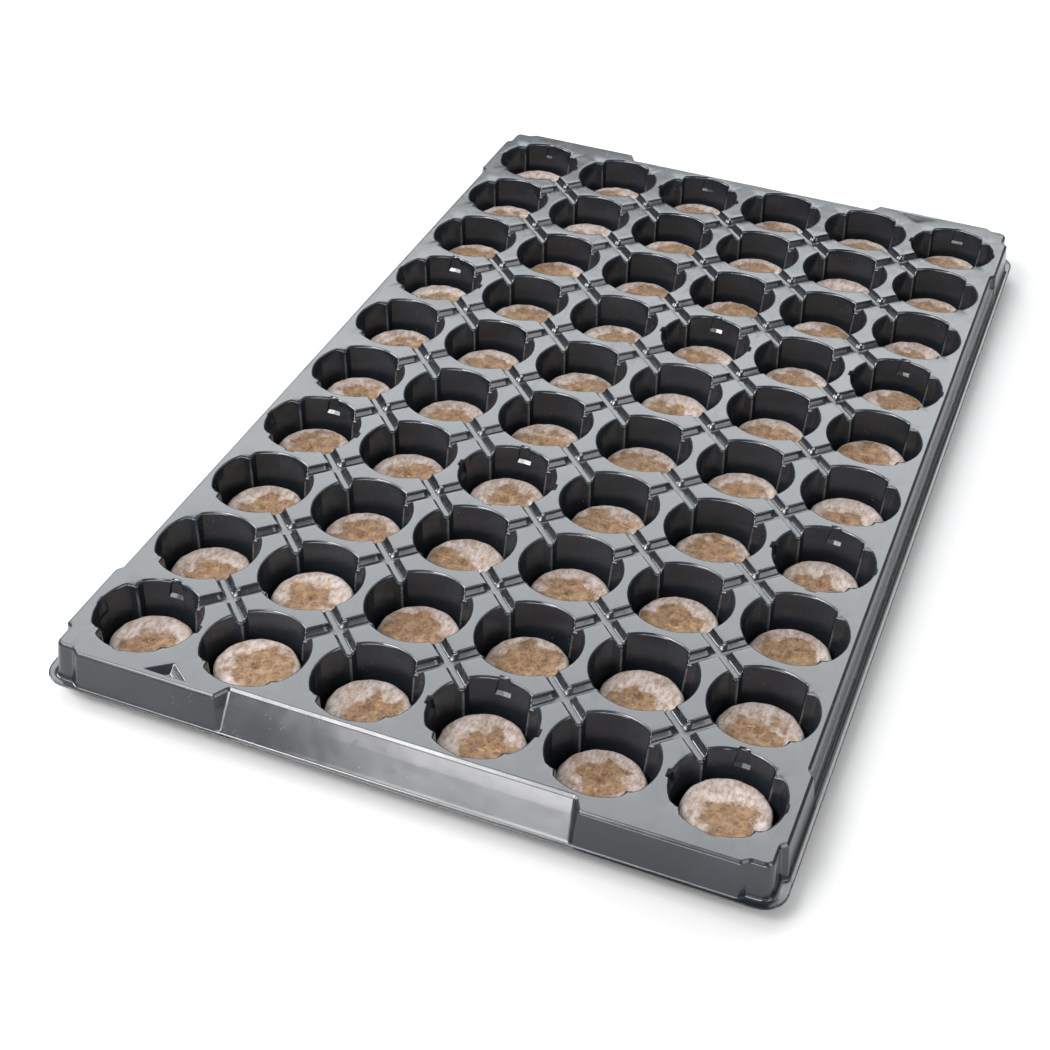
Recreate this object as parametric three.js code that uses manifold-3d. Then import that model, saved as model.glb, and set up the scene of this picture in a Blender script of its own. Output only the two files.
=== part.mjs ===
// Plug tray: one thermoformed sheet with 6 x 10 cells, and a netted peat pellet in each cell.
// Millimetres, +Z up. Origin on the resting plane, under the middle of the tray.
// +X runs along the short side, +Y along the long side.
// The sheet is cut into strips of two rows, so that the collision shape of each stays true.
import * as THREE from 'three';
import { mergeVertices } from 'three/addons/utils/BufferGeometryUtils.js';
import Module from 'manifold-3d';

// Cell grid
const COLUMNS = 6;
const ROWS = 10;
const PITCH = 51;

// Sheet
const SHEET = 0.8;
const DECK_Z = 28;
const FLOOR_Z = SHEET;

// Cell: a round cup with a narrow rib on each diagonal
const RIM_RADIUS = 22.9;
const FLOOR_RADIUS = 21;
const RIB_DEPTH = 1.8;
const RIB_HALF_ANGLE = THREE.MathUtils.degToRad(8);
const DIAGONAL = Math.PI / 4;
const FLANK_NORMAL = 0.6;
const DRAIN_RADIUS = 5;

// Air channels in the deck, one cross where four cells meet
const CHANNEL_DEPTH = 3.5;
const CHANNEL_FLOOR_SHARE = 0.6;

// Distance from a cell's middle to the edge of the cell grid, on the sides without a neighbour
const TILE_EDGE = 24.4;

// Skirt and flange: one quarter of each outline, anticlockwise from the long side to the short side
const SKIRT_DEPTH = 18;
const FLANGE_THICKNESS = 1.2;
const DECK_EDGE = [
  [154.0, 206.0], [156.2, 208.5], [156.2, 246.5], [153.6, 248.8], ...corner(3.5, [150.1, 256.3]),
  [145.0, 259.8], [142.0, 262.3], [78.0, 262.3], [74.4, 255.7],
];
const SKIRT_FOOT = [
  [158.4, 206.6], [158.4, 207.4], [158.4, 247.6], [155.8, 249.6], ...corner(5.7, [150.1, 256.3]),
  [145.6, 262.0], [142.8, 264.6], [77.2, 264.6], [75.6, 264.6],
];
const FLANGE_EDGE = [
  [160.6, 206.2], [160.6, 208.0], [160.6, 246.5], [160.6, 250.0], ...corner(11, [149.6, 254.6]),
  [145.5, 265.6], [142.5, 265.6], [77.0, 265.6], [75.5, 265.6],
];

// Strips
const ROWS_PER_STRIP = 2;
const STRIP_GAP = 0.3;

// Peat pellet
const PELLET_RADIUS = 18.3;
const PELLET_HEIGHT = 11;
const PELLET_CHAMFER = 1.6;
const PELLET_SIDES = 10;
const SEAT_GAP = 0.3;
const SEAT_OVERLAP = 0.4;

const polystyrene = new THREE.MeshStandardMaterial({ color: 0x2a2b2d, roughness: 0.38, metalness: 0 });
const peat = new THREE.MeshStandardMaterial({ color: 0xa8794e, roughness: 0.95, metalness: 0 });

// A formed sheet: each vertex has a place on the upper face and one on the lower face.
class Sheet {
  constructor() {
    this.upper = [];
    this.lower = [];
    this.faces = [];
    this.index = new Map();
  }

  // shift is the sideways offset of the lower face, for a vertex on a steep wall
  vertex(x, y, z, shift = [0, 0], thickness = SHEET) {
    const key = [x, y, z].map((v) => Math.round(v * 1000)).join();
    if (!this.index.has(key)) {
      this.index.set(key, this.upper.length);
      this.upper.push([x, y, z]);
      this.lower.push([x + shift[0], y + shift[1], z - thickness]);
    }
    return this.index.get(key);
  }

  // corners run anticlockwise seen from above
  fan(...corners) {
    for (let k = 1; k < corners.length - 1; k += 1) {
      this.faces.push([corners[0], corners[k], corners[k + 1]]);
    }
  }

  // Joins two loops of the same length, inner lying to the left of the way outer runs
  band(outer, inner) {
    outer.forEach((corner, k) => {
      const next = (k + 1) % outer.length;
      this.fan(corner, outer[next], inner[next], inner[k]);
    });
  }

  geometry() {
    const count = this.upper.length;
    const triangles = this.faces.flatMap((face) => face);
    const below = this.faces.flatMap(([a, b, c]) => [a + count, c + count, b + count]);
    const edges = new Map();
    this.faces.forEach((face) => face.forEach((a, k) => {
      const b = face[(k + 1) % 3];
      edges.set(`${a},${b}`, [a, b]);
    }));
    const sides = [];
    edges.forEach(([a, b]) => {
      const isOpen = !edges.has(`${b},${a}`);
      if (isOpen) sides.push(a, a + count, b + count, a, b + count, b);
    });
    const shape = new THREE.BufferGeometry();
    const places = [...this.upper, ...this.lower].flat();
    shape.setAttribute('position', new THREE.Float32BufferAttribute(places, 3));
    shape.setIndex([...triangles, ...below, ...sides]);
    shape.computeVertexNormals();
    return shape;
  }
}

function polar(radius, angle) {
  return [radius * Math.cos(angle), radius * Math.sin(angle)];
}

// A quarter arc, at its ends and its middle
function corner(radius, [x, y]) {
  return [0, DIAGONAL, Math.PI / 2].map((angle) => {
    const [dx, dy] = polar(radius, angle);
    return [x + dx, y + dy];
  });
}

// One quarter of a cell's outline, from the middle of one wall to the middle of the next
function quarterOutline(radius) {
  return [
    polar(radius, 0),
    polar(radius, DIAGONAL - RIB_HALF_ANGLE),
    polar(radius - RIB_DEPTH, DIAGONAL),
    polar(radius, DIAGONAL + RIB_HALF_ANGLE),
  ];
}

function turned([x, y], quarter) {
  const [c, s] = [[1, 0], [0, 1], [-1, 0], [0, -1]][quarter];
  return [x * c - y * s, x * s + y * c];
}

function cellCentre(column, row) {
  return [(column - (COLUMNS - 1) / 2) * PITCH, (row - (ROWS - 1) / 2) * PITCH];
}

function addCell(sheet, column, row) {
  const centre = cellCentre(column, row);
  const edge = {
    right: column === COLUMNS - 1 ? TILE_EDGE : PITCH / 2,
    left: column === 0 ? TILE_EDGE : PITCH / 2,
    far: row === ROWS - 1 ? TILE_EDGE : PITCH / 2,
    near: row === 0 ? TILE_EDGE : PITCH / 2,
  };
  const reach = [
    [edge.right, edge.far],
    [edge.far, edge.left],
    [edge.left, edge.near],
    [edge.near, edge.right],
  ];
  // A corner is inside the grid where it meets three other cells
  const inside = (quarter) => reach[quarter].every((r) => r === PITCH / 2);
  const place = (point, z, shift) => sheet.vertex(centre[0] + point[0], centre[1] + point[1], z, shift);
  const outward = [0, FLANK_NORMAL, DIAGONAL, Math.PI / 2 - FLANK_NORMAL];
  const quarters = [0, 1, 2, 3];
  const ring = (radius, z, lowered) => quarters.flatMap((quarter) => quarterOutline(radius).map((point, k) => {
    const at = turned(point, quarter);
    const out = turned(polar(SHEET, outward[k]), quarter);
    return place(at, k === 2 && lowered(quarter) ? z - CHANNEL_DEPTH : z, out);
  }));
  const rim = ring(RIM_RADIUS, DECK_Z, inside);
  const foot = ring(FLOOR_RADIUS, FLOOR_Z, () => false);
  sheet.band(rim, foot);

  const drain = quarters.map((quarter) => place(turned([DRAIN_RADIUS, 0], quarter), FLOOR_Z));
  quarters.forEach((quarter) => {
    const at = (k) => foot[(4 * quarter + k) % 16];
    sheet.fan(drain[quarter], at(0), at(1), at(2));
    sheet.fan(drain[quarter], at(2), drain[(quarter + 1) % 4]);
    sheet.fan(at(2), at(3), at(4), drain[(quarter + 1) % 4]);
  });

  // the deck around the rim, and a quarter of the channel cross at each inside corner
  const half = RIM_RADIUS * Math.sin(RIB_HALF_ANGLE) * Math.SQRT2;
  const corners = quarters.map((quarter) => {
    const [along, across] = reach[quarter];
    const point = (x, y, z) => place(turned([x, y], quarter), z);
    if (!inside(quarter)) {
      const tileCorner = point(along, across, DECK_Z);
      return { first: tileCorner, last: tileCorner };
    }
    const low = DECK_Z - CHANNEL_DEPTH;
    const centreLow = point(along, across, low);
    const firstLow = point(along, across - half * CHANNEL_FLOOR_SHARE, low);
    const lastLow = point(along - half * CHANNEL_FLOOR_SHARE, across, low);
    const first = point(along, across - half, DECK_Z);
    const last = point(along - half, across, DECK_Z);
    const at = (k) => rim[4 * quarter + k];
    sheet.fan(at(2), firstLow, centreLow, lastLow);
    sheet.fan(at(1), first, firstLow, at(2));
    sheet.fan(at(2), lastLow, last, at(3));
    return { first, last };
  });
  quarters.forEach((quarter) => {
    const at = (k) => rim[(4 * quarter + k + 16) % 16];
    const before = corners[(quarter + 3) % 4];
    sheet.fan(at(0), before.last, corners[quarter].first, at(1));
    sheet.fan(at(0), at(-1), before.last);
    if (!inside(quarter)) {
      sheet.fan(at(1), corners[quarter].first, at(2));
      sheet.fan(at(2), corners[quarter].first, at(3));
    }
  });
}

// The whole loop of a quarter outline: mirrored into the other three quarters
function loopOf(quarterPoints) {
  const mirrored = (sx, sy) => quarterPoints.map(([x, y]) => [sx * x, sy * y]);
  return [
    ...mirrored(1, 1), ...mirrored(-1, 1).reverse(), ...mirrored(-1, -1), ...mirrored(1, -1).reverse(),
  ];
}

// The edge of the cell grid: one point at each place where a cell border meets it
function gridLoop() {
  const x = ((COLUMNS - 1) / 2) * PITCH + TILE_EDGE;
  const y = ((ROWS - 1) / 2) * PITCH + TILE_EDGE;
  const along = (count, half) => Array.from({ length: count + 1 }, (_, k) => (
    k === 0 || k === count ? Math.sign(k - 1) * half : (k - count / 2) * PITCH
  ));
  const across = along(COLUMNS, x);
  const up = along(ROWS, y);
  return [
    ...up.slice(0, -1).map((v) => [x, v]),
    ...across.slice(1).reverse().map((v) => [v, y]),
    ...up.slice(1).reverse().map((v) => [-x, v]),
    ...across.slice(0, -1).map((v) => [v, -y]),
  ];
}

// Vertices of a loop, the lower face of each set in by the sheet's thickness
function addLoop(sheet, loop, z, thickness, inset) {
  return loop.map(([x, y], k) => {
    const before = loop[(k + loop.length - 1) % loop.length];
    const after = loop[(k + 1) % loop.length];
    const [dx, dy] = [after[0] - before[0], after[1] - before[1]];
    const scale = inset / Math.hypot(dx, dy);
    return sheet.vertex(x, y, z, [-dy * scale, dx * scale], thickness);
  });
}

function addDeckBorder(sheet, deckEdge) {
  const outer = loopOf(DECK_EDGE);
  const inner = gridLoop();
  const points = [...outer, ...inner].map(([x, y]) => new THREE.Vector2(x, y));
  const vertices = [...deckEdge, ...inner.map(([x, y]) => sheet.vertex(x, y, DECK_Z))];
  const hole = points.slice(outer.length);
  THREE.ShapeUtils.triangulateShape(points.slice(0, outer.length), [hole]).forEach((face) => {
    const leftTurn = THREE.ShapeUtils.area(face.map((k) => points[k])) > 0;
    sheet.fan(...(leftTurn ? face : face.reverse()).map((k) => vertices[k]));
  });
}

function traySheet() {
  const sheet = new Sheet();
  for (let column = 0; column < COLUMNS; column += 1) {
    for (let row = 0; row < ROWS; row += 1) addCell(sheet, column, row);
  }
  const deckEdge = addLoop(sheet, loopOf(DECK_EDGE), DECK_Z, SHEET, SHEET);
  const foot = addLoop(sheet, loopOf(SKIRT_FOOT), DECK_Z - SKIRT_DEPTH, FLANGE_THICKNESS, SHEET);
  const rim = addLoop(sheet, loopOf(FLANGE_EDGE), DECK_Z - SKIRT_DEPTH, FLANGE_THICKNESS, 0);
  addDeckBorder(sheet, deckEdge);
  sheet.band(foot, deckEdge);
  sheet.band(rim, foot);
  return sheet.geometry();
}

function pelletGeometry(bottom) {
  const top = SHEET + SEAT_GAP + PELLET_HEIGHT;
  const profile = [
    [0, bottom], [PELLET_RADIUS, bottom], [PELLET_RADIUS, top - PELLET_CHAMFER],
    [PELLET_RADIUS - PELLET_CHAMFER, top], [0, top],
  ].map(([r, z]) => new THREE.Vector2(r, z));
  return new THREE.LatheGeometry(profile, PELLET_SIDES).rotateX(Math.PI / 2);
}

// Joining and cutting
const MERGE_DISTANCE = 1e-4;
const wasm = await Module();
wasm.setup();

function solid(geometry) {
  const bare = geometry.clone();
  bare.deleteAttribute('normal');
  bare.deleteAttribute('uv');
  const merged = mergeVertices(bare, MERGE_DISTANCE);
  return new wasm.Manifold(new wasm.Mesh({
    numProp: 3,
    vertProperties: new Float32Array(merged.attributes.position.array),
    triVerts: new Uint32Array(merged.index.array),
  }));
}

function geometryOf(manifold) {
  const mesh = manifold.getMesh();
  const geometry = new THREE.BufferGeometry();
  geometry.setAttribute('position', new THREE.BufferAttribute(mesh.vertProperties, 3));
  geometry.setIndex(new THREE.BufferAttribute(mesh.triVerts, 1));
  geometry.computeVertexNormals();
  return geometry;
}

// A strip keeps the pellet in the last column of its first row as one solid with the sheet
const staysInTray = (column, row) => column === COLUMNS - 1 && row % ROWS_PER_STRIP === 0;

function trayStrip(whole, firstRow) {
  // The block reaches well past the tray on its free sides
  const width = 2 * COLUMNS * PITCH;
  const height = 4 * DECK_Z;
  const end = (row) => {
    if (row === 0 || row === ROWS) return (row - ROWS / 2) * 2 * PITCH;
    return (row - ROWS / 2) * PITCH + (row === firstRow ? STRIP_GAP / 2 : -STRIP_GAP / 2);
  };
  const [low, high] = [end(firstRow), end(firstRow + ROWS_PER_STRIP)];
  const block = new THREE.BoxGeometry(width, high - low, height).translate(0, (low + high) / 2, 0);
  const [x, y] = cellCentre(COLUMNS - 1, firstRow);
  const pellet = pelletGeometry(SEAT_OVERLAP).translate(x, y, 0);
  return geometryOf(whole.intersect(solid(block)).add(solid(pellet)));
}

function named(name, geometry, material) {
  const mesh = new THREE.Mesh(geometry, material);
  mesh.name = name;
  return mesh;
}

const part = new THREE.Group();
const whole = solid(traySheet());
for (let row = 0; row < ROWS; row += ROWS_PER_STRIP) {
  part.add(named(`tray_rows_${row + 1}_${row + ROWS_PER_STRIP}`, trayStrip(whole, row), polystyrene));
}
for (let row = 0; row < ROWS; row += 1) {
  for (let column = 0; column < COLUMNS; column += 1) {
    if (staysInTray(column, row)) continue;
    const pellet = named(`pellet_row${row + 1}_column${column + 1}`, pelletGeometry(SHEET + SEAT_GAP), peat);
    pellet.position.set(...cellCentre(column, row), 0);
    part.add(pellet);
  }
}
export default part;
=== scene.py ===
"""Plug tray: one formed sheet of black plastic with 60 cups, and a netted peat pellet in each cup.

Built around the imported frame. Lengths are in millimetres until a mesh is made, which is in metres.
"""

import math
import random

import bmesh
import bpy
from mathutils import Matrix, Vector, noise


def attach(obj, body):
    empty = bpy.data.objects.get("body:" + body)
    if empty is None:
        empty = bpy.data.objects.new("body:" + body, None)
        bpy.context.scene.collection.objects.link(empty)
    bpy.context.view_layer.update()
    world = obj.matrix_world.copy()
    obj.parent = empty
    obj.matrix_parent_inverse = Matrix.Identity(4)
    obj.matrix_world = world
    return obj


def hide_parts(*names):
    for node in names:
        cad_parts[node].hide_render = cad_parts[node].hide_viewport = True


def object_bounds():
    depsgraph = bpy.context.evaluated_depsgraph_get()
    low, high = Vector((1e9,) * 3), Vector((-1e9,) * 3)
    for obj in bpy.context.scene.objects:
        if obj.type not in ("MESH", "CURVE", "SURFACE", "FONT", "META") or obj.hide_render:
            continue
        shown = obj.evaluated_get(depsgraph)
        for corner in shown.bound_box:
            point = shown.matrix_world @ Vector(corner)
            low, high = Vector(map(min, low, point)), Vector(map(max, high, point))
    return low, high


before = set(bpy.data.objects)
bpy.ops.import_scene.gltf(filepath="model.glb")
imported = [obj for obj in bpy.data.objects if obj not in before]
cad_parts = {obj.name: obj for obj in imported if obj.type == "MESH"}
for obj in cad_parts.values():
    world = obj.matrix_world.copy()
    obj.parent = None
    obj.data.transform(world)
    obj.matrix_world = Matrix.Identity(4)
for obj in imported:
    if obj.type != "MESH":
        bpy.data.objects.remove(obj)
cad_low, cad_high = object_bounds()

MM = 0.001
COLUMNS = 6
ROWS = 10
PITCH = 51.0
DECK_Z = cad_high[2] / MM
# Upper face of the cups' floors, and thickness of the sheet
FLOOR_Z = 0.8
SHEET = 0.8
SEED = 7


def cup_centre(column, row):
    return (column - (COLUMNS - 1) / 2) * PITCH, (row - (ROWS - 1) / 2) * PITCH


# ---------------------------------------------------------------- camera

VIEW_AZIMUTH = math.radians(340.04)
VIEW_ELEVATION = math.radians(38.448)
VIEW_ROLL = math.radians(2.43)
VIEW_DISTANCE = 15.672 * PITCH
VIEW_TARGET = Vector((-0.0761 * PITCH, -2.1303 * PITCH, DECK_Z))
LENS = 60.36


def add_camera():
    down = Vector((
        math.sin(VIEW_AZIMUTH) * math.cos(VIEW_ELEVATION),
        math.cos(VIEW_AZIMUTH) * math.cos(VIEW_ELEVATION),
        -math.sin(VIEW_ELEVATION),
    ))
    right = Vector((math.cos(VIEW_AZIMUTH), -math.sin(VIEW_AZIMUTH), 0))
    up = right.cross(down)
    c, s = math.cos(VIEW_ROLL), math.sin(VIEW_ROLL)
    turn = Matrix((right * c + up * s, up * c - right * s, -down)).transposed().to_4x4()
    data = bpy.data.cameras.new("camera")
    data.lens = LENS
    data.sensor_width = 36
    data.clip_start = 0.01
    camera = bpy.data.objects.new("camera", data)
    camera.matrix_world = Matrix.Translation((VIEW_TARGET - down * VIEW_DISTANCE) * MM) @ turn
    bpy.context.collection.objects.link(camera)
    bpy.context.scene.camera = camera


# ---------------------------------------------------------------- shader helpers


class Nodes:
    """Short calls for building one material's node tree."""

    def __init__(self, name):
        self.material = bpy.data.materials.new(name)
        self.material.use_nodes = True
        self.tree = self.material.node_tree
        self.shader = self.tree.nodes["Principled BSDF"]
        self.place = self.add("ShaderNodeTexCoord").outputs["Object"]

    def add(self, kind, **values):
        node = self.tree.nodes.new(kind)
        for key, value in values.items():
            setattr(node, key, value)
        return node

    def link(self, output, socket):
        self.tree.links.new(output, socket)

    def noise(self, scale, detail=4.0, roughness=0.55, stretch=None):
        node = self.add("ShaderNodeTexNoise")
        node.inputs["Scale"].default_value = scale
        node.inputs["Detail"].default_value = detail
        node.inputs["Roughness"].default_value = roughness
        place = self.place
        if stretch:
            mapping = self.add("ShaderNodeMapping")
            mapping.inputs["Scale"].default_value = stretch
            self.link(self.place, mapping.inputs["Vector"])
            place = mapping.outputs["Vector"]
        self.link(place, node.inputs["Vector"])
        return node.outputs["Fac"]

    def cells(self, scale, feature="F1"):
        node = self.add("ShaderNodeTexVoronoi", feature=feature)
        node.inputs["Scale"].default_value = scale
        self.link(self.place, node.inputs["Vector"])
        return node.outputs["Distance"]

    def ramp(self, value, low, high, to_low=0.0, to_high=1.0):
        node = self.add("ShaderNodeMapRange", clamp=True)
        limits = {"From Min": low, "From Max": high, "To Min": to_low, "To Max": to_high}
        for key, number in limits.items():
            node.inputs[key].default_value = number
        self.link(value, node.inputs["Value"])
        return node.outputs["Result"]

    def math(self, operation, a, b):
        node = self.add("ShaderNodeMath", operation=operation)
        for socket, value in zip(node.inputs, (a, b)):
            if isinstance(value, (int, float)):
                socket.default_value = value
            else:
                self.link(value, socket)
        return node.outputs["Value"]

    def mix(self, factor, a, b):
        node = self.add("ShaderNodeMix", data_type="RGBA")
        for name, value in (("Factor", factor), ("A", a), ("B", b)):
            kind = "Float" if name == "Factor" else "Color"
            socket = next(s for s in node.inputs if s.identifier == f"{name}_{kind}")
            if isinstance(value, tuple):
                socket.default_value = (*value, 1.0)
            elif isinstance(value, (int, float)):
                socket.default_value = value
            else:
                self.link(value, socket)
        return next(s for s in node.outputs if s.identifier == "Result_Color")

    def bump(self, height, distance, strength=1.0, below=None):
        node = self.add("ShaderNodeBump")
        node.inputs["Distance"].default_value = distance
        node.inputs["Strength"].default_value = strength
        self.link(height, node.inputs["Height"])
        if below:
            self.link(below, node.inputs["Normal"])
        return node.outputs["Normal"]

    def attribute(self, name):
        return self.add("ShaderNodeAttribute", attribute_name=name).outputs["Fac"]

    def finish(self, color, roughness, normal):
        self.link(color, self.shader.inputs["Base Color"])
        self.link(roughness, self.shader.inputs["Roughness"])
        self.link(normal, self.shader.inputs["Normal"])
        return self.material


BLACK = (0.0060, 0.0076, 0.0100)
SCUFFED = (0.0125, 0.0152, 0.0190)
# Pale colour painted on the noses of the ribs as a highlight
RIB_HIGHLIGHT = (0.075, 0.078, 0.083)
DUST = (0.17, 0.16, 0.15)


def tray_plastic():
    """Satin black polystyrene: faint cloudiness from forming, fine scuffs and a little peat dust.

    One vertex attribute is above zero on the noses of the ribs, where a pale highlight is painted into the
    colour.
    """
    n = Nodes("tray_plastic")
    clouds = n.noise(28, detail=3)
    scuffs = n.ramp(n.noise(260, detail=6, stretch=(1.0, 0.22, 1.0)), 0.58, 0.74)
    specks = n.ramp(n.cells(420), 0.10, 0.05)
    specks = n.math("MULTIPLY", specks, n.ramp(n.noise(60, detail=2), 0.56, 0.66))
    color = n.mix(n.ramp(clouds, 0.35, 0.70, 0.0, 0.7), BLACK, SCUFFED)
    # A painted highlight down the ribs' noses, broken up by noise
    highlight_patches = n.ramp(n.noise(340, detail=3), 0.30, 0.62, 0.35, 1.0)
    color = n.mix(n.math("MULTIPLY", n.attribute("rib_highlight"), highlight_patches), color, RIB_HIGHLIGHT)
    color = n.mix(n.math("MULTIPLY", specks, 0.75), color, DUST)
    roughness = n.math("ADD", n.ramp(clouds, 0.3, 0.7, 0.17, 0.26), n.math("MULTIPLY", scuffs, 0.09))
    roughness = n.math("ADD", roughness, n.math("MULTIPLY", specks, 0.4))
    grain = n.bump(n.noise(1900, detail=2), 0.00004, 0.35)
    waves = n.bump(n.noise(75, detail=1), 0.0007, 0.20, below=grain)
    n.shader.inputs["IOR"].default_value = 1.55
    return n.finish(color, roughness, waves)


PEAT_DARK = (0.048, 0.022, 0.009)
PEAT = (0.155, 0.085, 0.040)
PEAT_LIGHT = (0.245, 0.152, 0.078)
FIBRE = (0.400, 0.190, 0.060)
NET = (0.385, 0.348, 0.335)
NET_THIN = (0.220, 0.148, 0.108)


def pellet_material():
    """Pressed peat in a thin fleece net. The attribute net is above zero where the net covers the peat."""
    n = Nodes("pellet")
    crumbs = n.noise(820, detail=5, roughness=0.68)
    clumps = n.noise(240, detail=3)
    fibres = n.noise(900, detail=4, stretch=(1.0, 0.16, 1.0))
    peat = n.mix(n.ramp(crumbs, 0.36, 0.56), PEAT_DARK, PEAT)
    peat = n.mix(n.ramp(clumps, 0.46, 0.72, 0.0, 0.85), peat, PEAT_LIGHT)
    peat = n.mix(n.ramp(fibres, 0.60, 0.72, 0.0, 0.6), peat, PEAT_LIGHT)
    strands = n.ramp(n.noise(620, detail=2, stretch=(0.22, 1.0, 1.0)), 0.66, 0.72, 0.0, 0.8)
    peat = n.mix(strands, peat, FIBRE)

    torn = n.math("MULTIPLY", n.math("SUBTRACT", n.noise(300, detail=6, roughness=0.75), 0.5), 1.7)
    edge = n.math("ADD", n.attribute("net"), torn)
    cover = n.ramp(edge, -0.05, 0.22)
    web = n.ramp(n.noise(600, detail=5, roughness=0.72, stretch=(1.0, 0.45, 1.0)), 0.37, 0.58)
    net = n.mix(web, NET_THIN, NET)
    worn = n.ramp(n.noise(150, detail=4, roughness=0.6), 0.36, 0.62, 0.62, 1.0)
    thick = n.math("MULTIPLY", worn, n.ramp(edge, 0.0, 0.7, 0.55, 0.98))
    color = n.mix(n.math("MULTIPLY", cover, thick), peat, net)

    roughness = n.ramp(crumbs, 0.3, 0.7, 0.80, 0.97)
    grains = n.bump(crumbs, 0.0009, 0.55)
    folds = n.bump(n.math("MULTIPLY", cover, n.noise(300, detail=4)), 0.0008, 0.5, below=grains)
    n.shader.inputs["Sheen Weight"].default_value = 0.15
    n.shader.inputs["Sheen Roughness"].default_value = 0.6
    n.shader.inputs["Specular IOR Level"].default_value = 0.25
    return n.finish(color, roughness, folds)


# ---------------------------------------------------------------- tray: cups

RIM_RADIUS = 22.9
FLOOR_RADIUS = 21.0
DRAIN_RADIUS = 5.0
# Ribs in the four corners of a cup: depth, half width in degrees, sharpness of the nose, and how far the
# rim dips over a rib that has no channel
RIB_DEPTH = 2.5
RIB_HALF_ANGLE = 9.0
RIB_SHARPNESS = 1.1
RIB_DIP = 0.8
RIM_MARGIN = 1.3
RIM_FILLET = 1.0
RIM_ANGLES = (0, 22, 68, 90)
FOOT_FILLET = 1.8
FOOT_ANGLES = (0, 30, 60, 90)
FLOOR_RING_RADIUS = 12.0
# Rings up the wall of a plain cup, and how far below the rim the wall's rings and the last ring stay
WALL_HEIGHTS = (9.0, 16.5)
WALL_RINGS_DROP = 3.0
LAST_RING_DROP = 2.0
# A cup's square tile of deck ends halfway to the next cup, or at OUTER_REACH beside the skirt
OUTER_REACH = 24.6
INNER_REACH = PITCH / 2
# Greatest share of the way from rim to border for the margin's ring, and the share for the middle ring
MARGIN_SHARE = 0.4
MIDDLE_SHARE = 0.7
# The painted highlight on the ribs' noses starts this far below the deck
RIB_HIGHLIGHT_DROP = 5.0

# Channel cross-section: distance from the middle of the channel, and depth below the deck
CHANNEL = (
    (0.0, 3.7), (0.9, 3.66), (1.4, 3.48), (1.9, 3.05), (2.75, 1.78),
    (3.0, 1.10), (3.1, 0.45), (3.25, 0.14), (3.6, 0.0),
)
# Angles from a rib to the middle of the next wall, past the channel
WALL_ANGLES = (14.0, 20.0, 27.5, 35.5, 38.0, 45.0)

# Niches in the tops of the walls of some cups, in every third row: a sloping sill, and sides that
# spread towards it. The depths are those towards the next cup and towards the skirt. The heights are those
# of a ring below the sill, the sill's front and back edges, and a ring above it.
NICHE_COLUMNS = {0: (0, 3, 5), 3: (0, 2, 5), 6: (0, 3, 5), 9: (0, 2, 5)}
NICHE_CELLS = {(column, row) for row, columns in NICHE_COLUMNS.items() for column in columns}
NICHE_DEPTH = 1.25
NICHE_OUTER_DEPTH = 0.5
NICHE_HEIGHTS = (18.6, 19.3, 20.7, 24.5)
NICHE_FOOT = 10.0
NICHE_LOWEST = 5.0
# Half the niche's width in degrees at the sill and at the deck, and half the width of each side
NICHE_HALF_ANGLES = (9.0, 5.8)
NICHE_SIDE = 0.6
# Rings between which the edges of a niche are sharp
NICHE_RINGS = range(7, 11)


def eighth_angles():
    """Angles away from a rib, with the distance from the channel's middle and the channel's depth there."""
    inner = [(math.degrees(math.asin(p / RIM_RADIUS)), p, depth) for p, depth in CHANNEL]
    return inner + [(angle, None, 0.0) for angle in WALL_ANGLES]


def tile_columns(reach, channels):
    """One entry per column of the cup's mesh.

    Its angle, its side of the rib, its angle from the rib, its point on the tile's border, its depth there,
    whether a channel ends at the rib, and how deep a niche may be.
    """
    columns = []
    for quarter in range(4):
        along, across = reach[quarter], reach[(quarter + 1) % 4]
        middle = 45.0 + 90.0 * quarter
        half = eighth_angles()
        for side, entries in ((-1, half[::-1]), (1, half[1:-1])):
            for away, p, depth in entries:
                run, rise = (along, across) if side < 0 else (across, along)
                if p is None:
                    rise = INNER_REACH * math.tan(math.radians(45.0 - away))
                else:
                    rise -= p * math.sqrt(2)
                local = (run, rise) if side < 0 else (rise, run)
                c, s = ((1, 0), (0, 1), (-1, 0), (0, -1))[quarter]
                border = Vector((local[0] * c - local[1] * s, local[0] * s + local[1] * c))
                low = depth if channels[quarter] else 0.0
                niche = NICHE_DEPTH if run == INNER_REACH else NICHE_OUTER_DEPTH
                columns.append((middle + side * away, side, away, border, low, channels[quarter], niche))
    return columns


def niche_at(away, z, depth):
    """How far a niche sets the wall back in this column, and how many degrees it moves the column."""
    _, sill, back, _ = NICHE_HEIGHTS
    if away not in WALL_ANGLES[-3:]:
        return 0.0, 0.0
    wide, narrow = NICHE_HALF_ANGLES
    up = min(1.0, max(0.0, (z - sill) / (DECK_Z - sill)))
    inner = 45.0 - wide + (wide - narrow) * up + NICHE_SIDE
    deep = depth * min(1.0, max(0.0, (z - sill) / (back - sill)))
    if away == WALL_ANGLES[-3]:
        return 0.0, inner - 2 * NICHE_SIDE - away
    if away == WALL_ANGLES[-2]:
        return deep, inner - away
    return deep, 0.0


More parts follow.
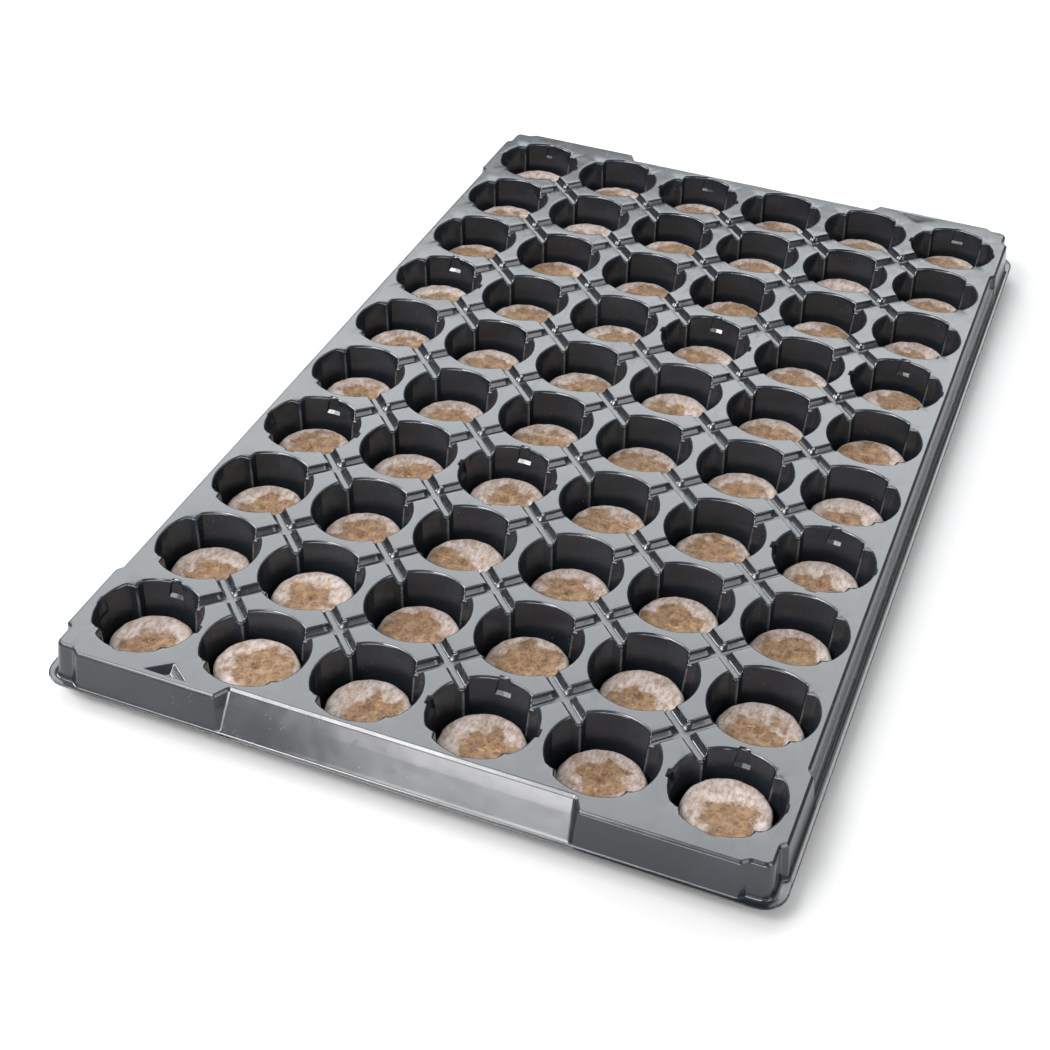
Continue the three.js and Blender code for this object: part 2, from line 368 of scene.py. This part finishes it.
def cup_profile(away, low, niche):
    """Radius, height and turn in degrees of each ring of one column, from the drain hole to the rim."""
    top = DECK_Z - low
    lean = (RIM_RADIUS - FLOOR_RADIUS) / (DECK_Z - FLOOR_Z)
    bump = RIB_DEPTH * max(0.0, 1 - away / RIB_HALF_ANGLE) ** RIB_SHARPNESS

    def wall(z):
        radius = FLOOR_RADIUS + lean * (z - FLOOR_Z) - bump
        return radius + niche_at(away, z, niche)[0]

    foot = wall(FLOOR_Z)
    rings = [(DRAIN_RADIUS, FLOOR_Z), (FLOOR_RING_RADIUS, FLOOR_Z)]
    for angle in FOOT_ANGLES:
        a = math.radians(angle)
        radius = foot - FOOT_FILLET + FOOT_FILLET * math.sin(a)
        rings.append((radius, FLOOR_Z + FOOT_FILLET * (1 - math.cos(a))))
    for height in (NICHE_FOOT, *NICHE_HEIGHTS) if niche else WALL_HEIGHTS:
        z = min(height, top - WALL_RINGS_DROP)
        rings.append((wall(z), z))
    rings.append((wall(top - LAST_RING_DROP), top - LAST_RING_DROP))
    edge = wall(top)
    for angle in RIM_ANGLES:
        a = math.radians(angle)
        rings.append((edge + RIM_FILLET * (1 - math.cos(a)), top - RIM_FILLET * (1 - math.sin(a))))
    turns = [niche_at(away, z, niche)[1] if niche and z > NICHE_LOWEST else 0.0 for _, z in rings]
    return [(radius, z, turn) for (radius, z), turn in zip(rings, turns)]


class SheetMesh:
    """A bmesh whose vertices on shared borders are made once."""

    def __init__(self):
        self.bm = bmesh.new()
        # Per-vertex weight of the painted highlight on the ribs' noses
        self.rib_highlight = self.bm.verts.layers.float.new("rib_highlight")
        self.shared = {}

    def vertex(self, x, y, z, share=False):
        if not share:
            return self.bm.verts.new((x, y, z))
        key = (round(x, 2), round(y, 2), round(z, 2))
        if key not in self.shared:
            self.shared[key] = self.bm.verts.new((x, y, z))
        return self.shared[key]

    def face(self, *corners):
        face = self.bm.faces.new(corners)
        face.smooth = True
        return face

    def band(self, outer, inner):
        """Quads between two closed loops that run anticlockwise seen from above."""
        for k in range(len(outer)):
            n = (k + 1) % len(outer)
            self.face(outer[k], outer[n], inner[n], inner[k])


def add_cup(sheet, column, row):
    """A cup with its ribs, its rim and its tile of deck, one column of vertices after another."""
    cx, cy = cup_centre(column, row)
    reach = [
        OUTER_REACH if column == COLUMNS - 1 else INNER_REACH,
        OUTER_REACH if row == ROWS - 1 else INNER_REACH,
        OUTER_REACH if column == 0 else INNER_REACH,
        OUTER_REACH if row == 0 else INNER_REACH,
    ]
    channels = [reach[k] == reach[(k + 1) % 4] == INNER_REACH for k in range(4)]
    has_niche = (column, row) in NICHE_CELLS
    lines = []
    sharp = []
    for angle, side, away, border, depth, channel, niche in tile_columns(reach, channels):
        low = depth if channel else RIB_DIP * max(0.0, 1 - away / RIB_HALF_ANGLE)
        line = []
        for radius, z, turn in cup_profile(away, low, niche if has_niche else 0.0):
            a = math.radians(angle + side * turn)
            at = Vector((math.cos(a), math.sin(a))) * radius
            line.append(sheet.vertex(cx + at.x, cy + at.y, z))
            # Marks the rib's nose below the deck, where the painted highlight goes
            line[-1][sheet.rib_highlight] = 1.0 if away == 0 and z < DECK_Z - RIB_HIGHLIGHT_DROP else 0.0
        edge_z = DECK_Z - depth
        length = (border - at).length
        for share in (min(MARGIN_SHARE, RIM_MARGIN / length), MIDDLE_SHARE):
            between = at.lerp(border, share)
            line.append(sheet.vertex(cx + between.x, cy + between.y, edge_z))
        line.append(sheet.vertex(cx + border.x, cy + border.y, edge_z, share=True))
        lines.append(line)
        sharp.append(has_niche and away in WALL_ANGLES[-3:])
    for k, line in enumerate(lines):
        after = lines[(k + 1) % len(lines)]
        for j in range(len(line) - 1):
            face = sheet.face(line[j], line[j + 1], after[j + 1], after[j])
            face.smooth = not (sharp[k] and sharp[k - len(lines) + 1] and j in NICHE_RINGS)


# ---------------------------------------------------------------- tray: skirt and flange

FOOT_Z = 10.0
# The rounded edge of the deck: how far in from the edge, and how far down
DECK_ROUND = ((1.4, 0.0), (1.15, 0.04), (0.9, 0.18), (0.05, 0.95))
CORNER_TURN = range(0, 91, 15)
OUTLINE_ROUND = 0.9
OUTLINE_STEP = 12.0
# Greatest share of an edge that the rounding of a corner may take
ROUND_SHARE = 0.48


def corner_arc(centre, radius):
    return [
        (centre[0] + radius * math.cos(math.radians(a)), centre[1] + radius * math.sin(math.radians(a)))
        for a in CORNER_TURN
    ]


def quarter_outline():
    """A path of points round the tray from +X to +Y.

    Each point holds x and y of the deck's edge, of the wall's foot and of the flange's edge. Its last
    number is 1 where the wall has a step in it.
    """
    deck = [
        (154.0, 0), (154.0, 206.0), (156.2, 208.5), (156.2, 246.5), (153.6, 248.8),
        *corner_arc((150.1, 256.3), 3.5),
        (145.0, 259.8), (142.0, 262.3), (78.0, 262.3), (74.4, 255.7), (0, 255.7),
    ]
    foot = [
        (158.4, 0), (158.4, 206.6), (158.4, 207.4), (158.4, 247.6), (155.8, 249.6),
        *corner_arc((150.1, 256.3), 5.7),
        (145.6, 262.0), (142.8, 264.0), (77.2, 264.0), (75.6, 264.0), (0, 264.0),
    ]
    edge = [
        (160.6, 0), (160.6, 206.2), (160.6, 208.0), (160.6, 246.5), (160.6, 250.0),
        *corner_arc((149.6, 254.6), 11.0),
        (145.5, 265.6), (142.5, 265.6), (77.0, 265.6), (75.5, 265.6), (0, 265.6),
    ]
    stepped = [1, 1] + [0] * (len(deck) - 2)
    return [(*d, *f, *e, s) for d, f, e, s in zip(deck, foot, edge, stepped)]


def rounded(points, radius, steps=4):
    """Rounds every inner corner of a path of points with any number of coordinates."""
    out = [points[0]]
    for before, here, after in zip(points, points[1:], points[2:]):
        ends = []
        for other in (before, here), (after, here):
            near = other[0]
            length = max(math.dist(near[:2], here[:2]), math.dist(near[4:6], here[4:6]))
            share = min(ROUND_SHARE, radius / length)
            ends.append([h + (n - h) * share for n, h in zip(near, here)])
        for k in range(steps + 1):
            t = k / steps
            out.append([
                a * (1 - t) ** 2 + 2 * h * t * (1 - t) + b * t ** 2
                for a, h, b in zip(ends[0], here, ends[1])
            ])
    return out + [points[-1]]


def subdivided(points, longest):
    out = [points[0]]
    for a, b in zip(points, points[1:]):
        parts = max(1, math.ceil(math.dist(a[:2], b[:2]) / longest))
        out += [[x + (y - x) * k / parts for x, y in zip(a, b)] for k in range(1, parts + 1)]
    return out


def whole_outline():
    """The outline of the first quarter mirrored into the other three."""
    quarter = subdivided(rounded(quarter_outline(), OUTLINE_ROUND), OUTLINE_STEP)

    def mirrored(sx, sy, points):
        return [[v * (sx, sy)[k % 2] if k < 6 else v for k, v in enumerate(p)] for p in points]

    return [
        *mirrored(1, 1, quarter[:-1]), *mirrored(-1, 1, quarter[:0:-1]),
        *mirrored(-1, -1, quarter[:-1]), *mirrored(1, -1, quarter[:0:-1]),
    ]


# Each level of the wall: its share of the way down, and of the way out where the wall is plain and stepped
WALL_LEVELS = (
    (0.072, 0.055, 0.03), (0.34, 0.34, 0.20), (0.385, 0.385, 0.24), (0.43, 0.43, 0.47),
    (0.48, 0.48, 0.54), (0.90, 0.90, 0.74), (0.965, 0.97, 0.84),
)
# Each level of the flange: its share of the way out, and its height above the flange's top
FLANGE_LEVELS = ((0.10, 0.30), (0.28, 0.10), (0.50, 0.0), (0.80, 0.0), (0.97, -0.12), (1.0, -0.45))


def add_skirt(sheet):
    """The deck's rounded edge, the wall and the flange, as closed loops one below another."""
    outline = whole_outline()
    count = len(outline)
    outward = []
    for k in range(count):
        before, after = outline[k - 1], outline[(k + 1) % count]
        outward.append(Vector((after[1] - before[1], before[0] - after[0])).normalized())

    def loop(place):
        points = [place(p, n) for p, n in zip(outline, outward)]
        return [sheet.vertex(*point) for point in points]

    def deck_level(inset, drop):
        return loop(lambda p, n: (p[0] - n.x * inset, p[1] - n.y * inset, DECK_Z - drop))

    def wall_level(down, plain, stepped):
        z = DECK_Z - (DECK_Z - FOOT_Z) * down

        def place(p, _):
            out = plain + (stepped - plain) * p[6]
            return (p[0] + (p[2] - p[0]) * out, p[1] + (p[3] - p[1]) * out, z)
        return loop(place)

    def flange_level(out, above):
        z = FOOT_Z + above
        return loop(lambda p, _: (p[2] + (p[4] - p[2]) * out, p[3] + (p[5] - p[3]) * out, z))

    levels = [deck_level(*level) for level in DECK_ROUND]
    levels += [wall_level(*level) for level in WALL_LEVELS]
    levels += [flange_level(*level) for level in FLANGE_LEVELS]
    for inner, outer in zip(levels, levels[1:]):
        sheet.band(outer, inner)


# ---------------------------------------------------------------- tray: corner marks in the deck

MARK_HALF_WIDTH = 10.0
MARK_BASE_Y = -259.0
MARK_TIP_Y = -251.3
# Distance from the triangle's base to the deepest point of the pit
MARK_DEEPEST = 2.6
MARK_CLEARANCE = 1.6
# Share by which the corners are cut along their sides, and towards the middle of the side across
MARK_CUT_ALONG = 0.05
MARK_CUT_IN = 0.03
# Share of the triangle's size, and depth, of each loop of the pit
MARK_LOOPS = ((1.10, 0.0), (1.0, 0.12), (0.94, 0.4), (0.30, 2.5), (0.12, 2.7))


def mark_loop(sign, share, z):
    """A triangle with cut corners, in the border of the deck between the first two cups."""
    middle = Vector((-2 * PITCH, MARK_BASE_Y + MARK_DEEPEST))
    corners = ((-MARK_HALF_WIDTH, MARK_BASE_Y), (MARK_HALF_WIDTH, MARK_BASE_Y), (0.0, MARK_TIP_Y))
    points = [middle + (Vector((middle.x + x, y)) - middle) * share for x, y in corners]
    out = []
    for k, here in enumerate(points):
        before, after = points[k - 1], points[(k + 1) % 3]
        out.append(here.lerp(before, MARK_CUT_ALONG))
        out.append(here.lerp((before + after) / 2, MARK_CUT_IN))
        out.append(here.lerp(after, MARK_CUT_ALONG))
    return [(p.x * sign, p.y * sign, z) for p in out]


def in_mark(x, y):
    """Whether a point lies in a corner mark or the clearance round it."""
    for sign in (1, -1):
        u, v = x * sign + 2 * PITCH, y * sign
        if MARK_BASE_Y - MARK_CLEARANCE < v < MARK_TIP_Y + MARK_CLEARANCE:
            half = MARK_HALF_WIDTH * (MARK_TIP_Y - v) / (MARK_TIP_Y - MARK_BASE_Y) + 2 * MARK_CLEARANCE
            if abs(u) < half:
                return True
    return False


def on_deck(vertex):
    return abs(vertex.co.z - DECK_Z) < 0.001


def add_marks(sheet):
    """Clears the deck round each mark and adds the pits, whose rims are left for fill_deck to join."""
    doomed = [f for f in sheet.bm.faces if any(on_deck(v) and in_mark(v.co.x, v.co.y) for v in f.verts)]
    bmesh.ops.delete(sheet.bm, geom=doomed, context="FACES")
    for sign in (1, -1):
        loops = []
        for share, depth in MARK_LOOPS:
            loops.append([sheet.vertex(*p) for p in mark_loop(sign, share, DECK_Z - depth)])
        for outer, inner in zip(loops, loops[1:]):
            sheet.band(outer, inner)
        sheet.face(*loops[-1])


def fill_deck(sheet):
    """Closes the deck between the cups' tiles, the skirt and the corner marks."""
    bm = sheet.bm
    bm.edges.ensure_lookup_table()
    flat = [e for e in bm.edges if e.is_boundary and all(on_deck(v) for v in e.verts)]
    filled = bmesh.ops.triangle_fill(
        bm, edges=flat, use_beauty=True, use_dissolve=False, normal=(0, 0, 1)
    )
    for face in filled["geom"]:
        if isinstance(face, bmesh.types.BMFace):
            face.normal_update()
            if face.normal.z < 0:
                face.normal_flip()
            face.smooth = True


# Gentle waviness of the formed sheet, which dies out towards the edge of the flange. The cups' floors
# stay at their height, up to WAVE_FLOOR above them.
WAVE_HEIGHT = 0.10
WAVE_SIZE = 38.0
WAVE_FREE = 4.0
WAVE_FLOOR = 0.5


def add_waves(bm):
    for v in bm.verts:
        room = min(cad_high[0] / MM - abs(v.co.x), cad_high[1] / MM - abs(v.co.y))
        sway = noise.noise_vector(v.co / WAVE_SIZE) * WAVE_HEIGHT * max(0.0, min(1.0, room / WAVE_FREE))
        v.co.x += sway.x
        v.co.y += sway.y
        if v.co.z > FLOOR_Z + WAVE_FLOOR:
            v.co.z -= abs(sway.z)


def build_tray(material):
    sheet = SheetMesh()
    for column in range(COLUMNS):
        for row in range(ROWS):
            add_cup(sheet, column, row)
    add_skirt(sheet)
    add_marks(sheet)
    fill_deck(sheet)
    add_waves(sheet.bm)
    for v in sheet.bm.verts:
        v.co *= MM
    mesh = bpy.data.meshes.new("tray_sheet")
    sheet.bm.to_mesh(mesh)
    sheet.bm.free()
    mesh.materials.append(material)
    tray = bpy.data.objects.new("tray_sheet", mesh)
    bpy.context.collection.objects.link(tray)
    thick = tray.modifiers.new("thickness", "SOLIDIFY")
    thick.thickness = SHEET * MM
    thick.offset = -1
    even = tray.modifiers.new("normals", "WEIGHTED_NORMAL")
    even.keep_sharp = True
    return tray


# ---------------------------------------------------------------- pellets

PELLET_RADIUS = 18.45
RADIUS_SPREAD = (-0.25, 0.1)
PELLET_HEIGHT = 11.4
HEIGHT_SPREAD = (-0.6, 0.4)
PELLET_SEAT = 1.45
MOST_TILT = 1.8
OFFSET = 0.35

PELLET_COLUMNS = 72
BASE_SHARES = (0.1, 0.4, 0.8)
BASE_ROUND = 1.6
BASE_ANGLES = (0, 30, 60, 90)
BULGE = 0.15
BULGE_SHARE = 0.42
SIDE_SHARE = 0.62
EDGE_ROUND = 2.4
EDGE_ANGLES = (0, 20, 40, 60, 80, 90)
TOP_RINGS = 17
# Pellets that have begun to swell, by column and row, and how much taller they are
SWOLLEN = {(1, 0): 4.6, (1, 1): 3.0, (5, 0): 4.2}

# Where the net is torn open on the top: the middle and radius of the bare peat, how far its edge fades, and
# the least cover below this depth under the top
BARE_X = (-4.5, 4.5)
BARE_Y = (-6, 2.5)
BARE_RADIUS = (9.5, 15.0)
NET_FADE = 6.0
SIDE_COVER = 0.6
SIDE_COVER_DEPTH = 0.3

# Noise as a frequency per millimetre and a size in millimetres, or for the sides as a share of the radius
RAGGED_EDGE = (0.16, 5.5)
COARSE_LUMPS = (0.30, 0.45)
FINE_LUMPS = (0.9, 0.28)
CRUMBS = (2.3, 0.25)
SIDE_LUMPS = (0.35, 0.012)

SEED_SPAN = 90
FOLD_COUNT = (9, 14)
SIDE_FOLDS = 0.010
FLAT_BASE = 0.5
WRINKLE_HEIGHT = 0.22
WRINKLE_TWIST = 0.25
DIMPLE_DEPTH = 2.1
DIMPLE_RADIUS = 1.9
CROWN_HEIGHT = 0.35
# The top's lumps and wrinkles fade out over this depth. Under the net only a share of the lumps shows.
TOP_BLEND = 1.5
NET_LUMPS = 0.5
BARE_LUMPS = 0.7


def pellet_rings(radius, height):
    """Radius and height of each ring, from the middle of the base round to the middle of the top."""
    rings = [(radius * share, 0.0) for share in BASE_SHARES]
    for angle in BASE_ANGLES:
        a = math.radians(angle)
        rings.append((radius - BASE_ROUND + BASE_ROUND * math.sin(a), BASE_ROUND * (1 - math.cos(a))))
    rings += [(radius + BULGE, height * BULGE_SHARE), (radius, height * SIDE_SHARE)]
    for angle in EDGE_ANGLES:
        a = math.radians(angle)
        rings.append((radius - EDGE_ROUND * (1 - math.cos(a)), height - EDGE_ROUND * (1 - math.sin(a))))
    inner = radius - EDGE_ROUND
    rings += [(inner * (1 - k / TOP_RINGS), height) for k in range(1, TOP_RINGS)]
    return rings


class PelletShape:
    """The random measures of one pellet, and its surface worked out from them."""

    def __init__(self, x, y, swollen, rng):
        self.radius = PELLET_RADIUS + rng.uniform(*RADIUS_SPREAD)
        self.height = PELLET_HEIGHT + rng.uniform(*HEIGHT_SPREAD) + swollen
        self.bare_x = rng.uniform(*BARE_X)
        self.bare_y = rng.uniform(*BARE_Y)
        self.bare_radius = rng.uniform(*BARE_RADIUS)
        self.folds = rng.randint(*FOLD_COUNT)
        self.phase = rng.uniform(0, math.tau)
        self.seed = Vector([rng.uniform(0, SEED_SPAN) for _ in range(3)])
        tilt_axis = Vector((math.cos(self.phase), math.sin(self.phase), 0))
        self.tilt = Matrix.Rotation(math.radians(rng.uniform(0, MOST_TILT)), 3, tilt_axis)
        across = rng.uniform(-OFFSET, OFFSET)
        along = rng.uniform(-OFFSET, OFFSET)
        self.place = Vector((x + across, y + along, PELLET_SEAT))

    def noise_at(self, p, frequency, size):
        return noise.noise(self.seed + p * frequency) * size

    def net_cover(self, p):
        """How well the net covers a point of the smooth pellet: above zero it does."""
        away = math.hypot(p.x - self.bare_x, p.y - self.bare_y)
        covered = (away + self.noise_at(p, *RAGGED_EDGE) - self.bare_radius) / NET_FADE
        if p.z < self.height - SIDE_COVER_DEPTH:
            covered = max(covered, SIDE_COVER)
        return covered

    def shaped(self, p, angle, covered):
        """A point of the smooth pellet moved to its place in the lumpy, wrinkled and dimpled surface."""
        on_side = p.z > FLAT_BASE
        top = max(0.0, min(1.0, (p.z - self.height + TOP_BLEND) / TOP_BLEND))
        bare_share = max(0.0, min(1.0, 0.5 - covered))
        distance = math.hypot(p.x, p.y)
        outward = (distance / self.radius) ** 2
        lumps = self.noise_at(p, *COARSE_LUMPS) + self.noise_at(p, *FINE_LUMPS)
        lumps *= NET_LUMPS + BARE_LUMPS * bare_share
        dimple = DIMPLE_DEPTH * math.exp(-((distance / DIMPLE_RADIUS) ** 2))
        crown = CROWN_HEIGHT * (outward - 1)
        wave = math.sin(self.folds * angle + self.phase + WRINKLE_TWIST * distance)
        wrinkle = WRINKLE_HEIGHT * wave * outward * (1 - bare_share)
        p.z += top * (lumps + wrinkle - dimple + crown)
        p.z += top * bare_share * self.noise_at(p, *CRUMBS)
        fold = SIDE_FOLDS * math.sin(self.folds * angle + self.phase)
        side = 1 + (1 - top) * (fold + self.noise_at(p, *SIDE_LUMPS))
        if on_side:
            p.x *= side
            p.y *= side
        return self.tilt @ p + self.place

    def surface(self):
        """Points ring by ring in millimetres, the net's cover at each, and the number of rings."""
        rings = pellet_rings(self.radius, self.height)
        points, cover = [], []
        for r, z in rings:
            for k in range(PELLET_COLUMNS):
                angle = math.tau * k / PELLET_COLUMNS
                p = Vector((r * math.cos(angle), r * math.sin(angle), z))
                cover.append(self.net_cover(p))
                points.append(self.shaped(p, angle, cover[-1]))
        return points, cover, len(rings)


def build_pellet(name, x, y, swollen, rng, material):
    points, cover, rings = PelletShape(x, y, swollen, rng).surface()
    faces = []
    for j in range(rings - 1):
        for k in range(PELLET_COLUMNS):
            n = (k + 1) % PELLET_COLUMNS
            a, b = j * PELLET_COLUMNS, (j + 1) * PELLET_COLUMNS
            faces.append((a + k, a + n, b + n, b + k))
    faces.append(tuple(range(PELLET_COLUMNS))[::-1])
    faces.append(tuple(range((rings - 1) * PELLET_COLUMNS, rings * PELLET_COLUMNS)))
    mesh = bpy.data.meshes.new(name)
    mesh.from_pydata([p * MM for p in points], [], faces)
    mesh.attributes.new("net", "FLOAT", "POINT").data.foreach_set("value", cover)
    mesh.materials.append(material)
    mesh.polygons.foreach_set("use_smooth", [True] * len(mesh.polygons))
    pellet = bpy.data.objects.new(name, mesh)
    bpy.context.collection.objects.link(pellet)
    return pellet


def add_pellets(material):
    rng = random.Random(SEED)
    for row in range(ROWS):
        for column in range(COLUMNS):
            x, y = cup_centre(column, row)
            node = f"pellet_row{row + 1}_column{column + 1}"
            swollen = SWOLLEN.get((column, row), 0.0)
            pellet = build_pellet(f"netted_{node}", x, y, swollen, rng, material)
            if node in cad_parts:
                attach(pellet, node)
                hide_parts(node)
            else:
                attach(pellet, "root")


# ---------------------------------------------------------------- floor and lights

# In metres: the width of the floor, and how far it lies below the tray
FLOOR_WIDTH = 14
FLOOR_DROP = 0.0002
FLOOR_DARK = (0.41, 0.41, 0.41)
FLOOR_LIGHT = (0.43, 0.43, 0.43)


def add_floor():
    bpy.ops.mesh.primitive_plane_add(size=FLOOR_WIDTH, location=(0, 0, -FLOOR_DROP))
    floor = bpy.context.object
    floor.name = "floor"
    n = Nodes("floor")
    color = n.mix(n.noise(3, detail=2), FLOOR_DARK, FLOOR_LIGHT)
    roughness = n.ramp(n.noise(5), 0, 1, 0.75, 0.85)
    n.finish(color, roughness, n.bump(n.noise(200), 0.0001, 0.1))
    floor.data.materials.append(n.material)


WHITE = (1.0, 1.0, 1.0)
COOL = (0.94, 0.98, 1.0)
# Name, azimuth and elevation in degrees, distance, width and height in metres, watts, and colour. The back
# one is mirrored by the deck, and the small one by the deck's rounded edge.
SOFTBOXES = (
    ("back_softbox", 340, 44, 2.2, 2.6, 1.4, 67, COOL),
    ("high_softbox", 214, 46, 2.0, 1.3, 0.75, 32, WHITE),
    ("small_softbox", 209, 51, 2.0, 0.5, 0.45, 16, WHITE),
    ("top_softbox", 285, 71, 2.3, 1.3, 0.9, 15, WHITE),
    ("front_softbox", 176, 11, 1.7, 1.3, 0.62, 35, WHITE),
    ("left_softbox", 260, 33, 1.8, 0.6, 0.55, 20, WHITE),
    ("right_softbox", 112, 28, 1.8, 0.7, 1.3, 14, WHITE),
    ("back_right_softbox", 40, 45, 2.2, 1.6, 1.2, 12, WHITE),
)
WORLD_STRENGTH = 0.25


def add_softbox(name, azimuth, elevation, distance, width, height, watts, color):
    a, e = math.radians(azimuth), math.radians(elevation)
    place = Vector((math.sin(a) * math.cos(e), math.cos(a) * math.cos(e), math.sin(e))) * distance
    data = bpy.data.lights.new(name, "AREA")
    data.shape = "RECTANGLE"
    data.size = width
    data.size_y = height
    data.energy = watts
    data.color = color
    lamp = bpy.data.objects.new(name, data)
    lamp.location = place
    lamp.rotation_euler = place.to_track_quat("Z", "Y").to_euler()
    bpy.context.collection.objects.link(lamp)


def add_lights():
    for softbox in SOFTBOXES:
        add_softbox(*softbox)
    world = bpy.data.worlds.new("studio")
    world.use_nodes = True
    background = world.node_tree.nodes["Background"]
    background.inputs["Color"].default_value = (*WHITE, 1.0)
    background.inputs["Strength"].default_value = WORLD_STRENGTH
    bpy.context.scene.world = world
    bpy.context.scene.view_settings.view_transform = "Standard"


# ---------------------------------------------------------------- the scene

add_camera()
tray = build_tray(tray_plastic())
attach(tray, "root")
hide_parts(*[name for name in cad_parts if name.startswith("tray_rows")])
add_pellets(pellet_material())
add_floor()
add_lights()
